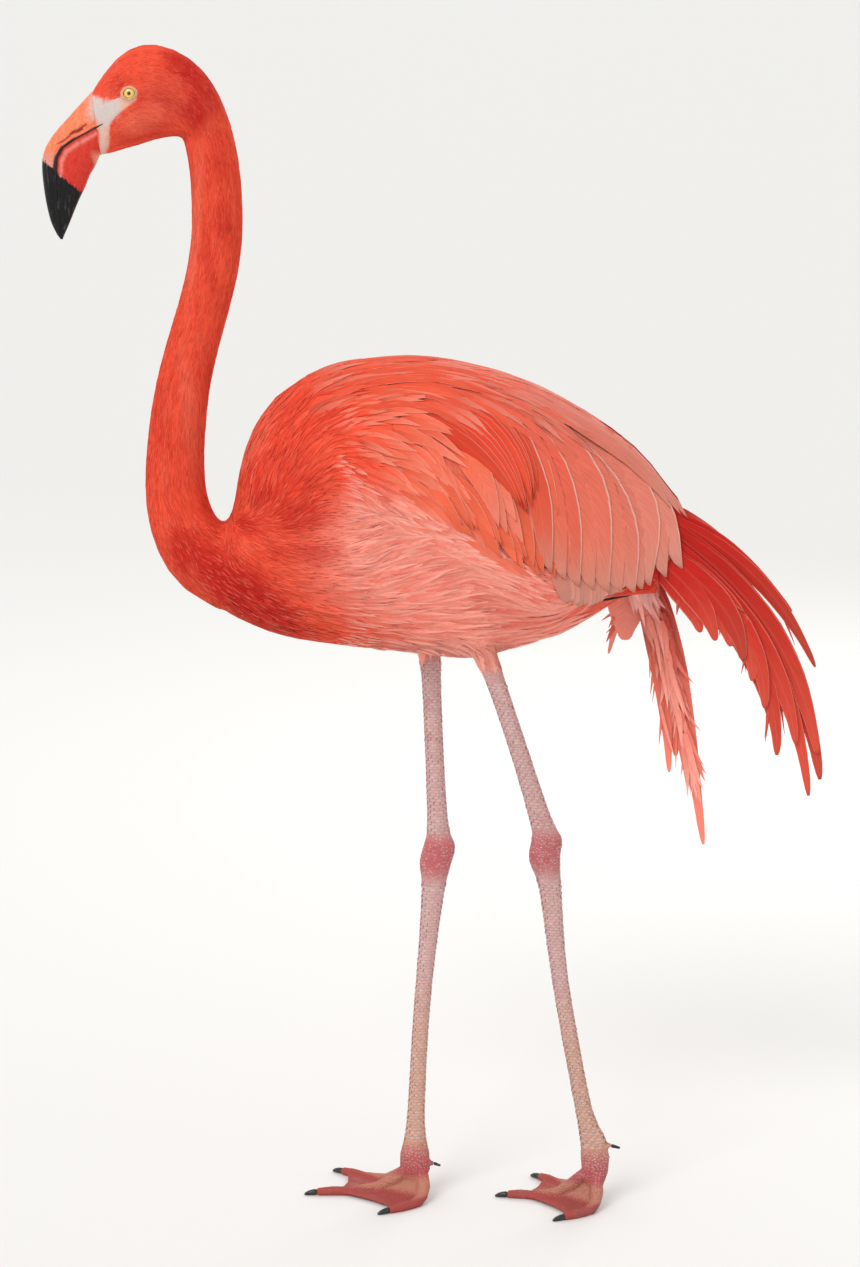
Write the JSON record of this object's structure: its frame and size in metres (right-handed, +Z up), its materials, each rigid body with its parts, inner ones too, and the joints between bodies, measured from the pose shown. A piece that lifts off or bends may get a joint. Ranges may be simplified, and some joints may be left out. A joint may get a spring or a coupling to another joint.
{
  "type": "flamingo",
  "caption": "Adult American flamingo in mid stride, neck raised in an S, bill bent down, wings folded over the back and long scarlet tertials trailing behind.",
  "frame": {"origin": "centre of the bird's box in plan, on the floor that it stands on", "axes": "+Z up, -X the way the bird faces, -Y the bird's left side"},
  "size_m": [0.7918, 0.2108, 1.2135],
  "materials": {
    "plumage": "soft body feathers, orange-red",
    "coverts": "smooth wing feathers, salmon with paler edges",
    "scarlet": "long flight feathers, scarlet",
    "primaries": "flight feathers, black",
    "leg_skin": "scaly bare skin, mauve pink",
    "foot_skin": "scaly webbed skin, dusty red",
    "bill": "satin horn, coral with a black tip",
    "claw": "satin horn, black",
    "eye": "wet and glossy, yellow with a black pupil"
  },
  "bodies": {
    "root": {"torso": "plumage", "neck_upper": "plumage", "neck_middle": "plumage", "neck_lower": "plumage", "head": "plumage", "bill_upper": "bill", "bill_lower": "bill", "eye_left": "eye", "eye_right": "eye", "tail": "scarlet", "wing_left": "coverts", "wing_right": "coverts", "tertials_left": "scarlet", "tertials_right": "scarlet", "tertials_right_drooping": "scarlet", "primaries_left": "primaries", "primaries_right": "primaries", "thigh_left": "plumage", "thigh_right": "plumage", "shank_left": "leg_skin", "shank_right": "leg_skin", "hock_left": "leg_skin", "hock_right": "leg_skin", "tarsus_left": "leg_skin", "tarsus_right": "leg_skin", "foot_left": "foot_skin", "foot_right": "foot_skin", "claw_left_hind": "claw", "claw_left_inner": "claw", "claw_left_middle": "claw", "claw_left_outer": "claw", "claw_right_hind": "claw", "claw_right_inner": "claw", "claw_right_middle": "claw", "claw_right_outer": "claw"}
  },
  "joints": []
}
